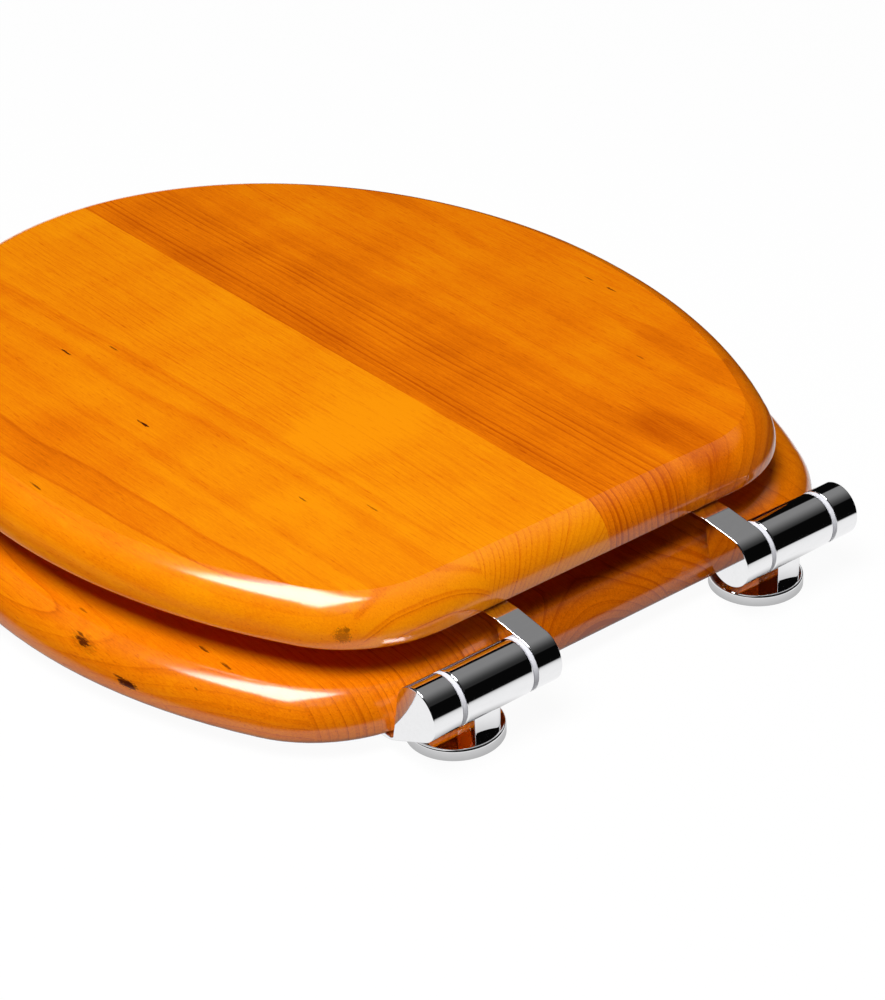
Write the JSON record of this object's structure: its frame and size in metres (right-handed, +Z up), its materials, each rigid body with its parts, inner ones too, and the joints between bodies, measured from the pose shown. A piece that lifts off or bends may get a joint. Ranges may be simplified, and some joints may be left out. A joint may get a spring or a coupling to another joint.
{
  "type": "toilet seat",
  "caption": "Wooden toilet seat ring with a lid, gloss lacquered, on chrome barrel hinges that let lid and ring lift.",
  "frame": {"origin": "midway between the two fixing holes, on the plane that the hinge feet and the buffers rest on", "axes": "+Z up, the front of the seat to -Y, the hinge axis along X, +X to the right of a person who faces the front"},
  "size_m": [0.348, 0.429, 0.0565],
  "materials": {
    "lid_wood": "amber gloss lacquer over pine staves",
    "ring_wood": "amber gloss lacquer over pine staves",
    "chrome": "polished chrome plate",
    "steel": "plain zinc-plated steel",
    "nylon": "white nylon",
    "buffer_rubber": "off-white rubber",
    "gasket": "black rubber"
  },
  "bodies": {
    "base": {"left_hinge_post": "chrome", "left_foot_gasket": "gasket", "left_hinge_pin": "steel", "left_inner_bush": "nylon", "left_outer_bush": "nylon", "right_hinge_post": "chrome", "right_foot_gasket": "gasket", "right_hinge_pin": "steel", "right_inner_bush": "nylon", "right_outer_bush": "nylon"},
    "seat": {"seat_ring": "ring_wood", "left_seat_leaf": "chrome", "left_seat_leaf_screws": "steel", "seat_buffer_front_left": "buffer_rubber", "seat_buffer_rear_left": "buffer_rubber", "right_seat_leaf": "chrome", "right_seat_leaf_screws": "steel", "seat_buffer_front_right": "buffer_rubber", "seat_buffer_rear_right": "buffer_rubber", "seat_buffer_screws": "steel"},
    "lid": {"lid": "lid_wood", "left_lid_leaf": "chrome", "left_lid_leaf_screws": "steel", "lid_buffer_left": "buffer_rubber", "right_lid_leaf": "chrome", "right_lid_leaf_screws": "steel", "lid_buffer_right": "buffer_rubber", "lid_buffer_screws": "steel"}
  },
  "joints": [
    {"name": "seat_lift", "type": "hinge", "parent": "base", "child": "seat", "pos_m": [0, 0.0111, 0.0255], "axis": [-1, 0, 0], "range_deg": [0, 95]},
    {"name": "lid_lift", "type": "hinge", "parent": "seat", "child": "lid", "pos_m": [0, 0.0111, 0.0255], "axis": [-1, 0, 0], "range_deg": [0, 95]}
  ]
}
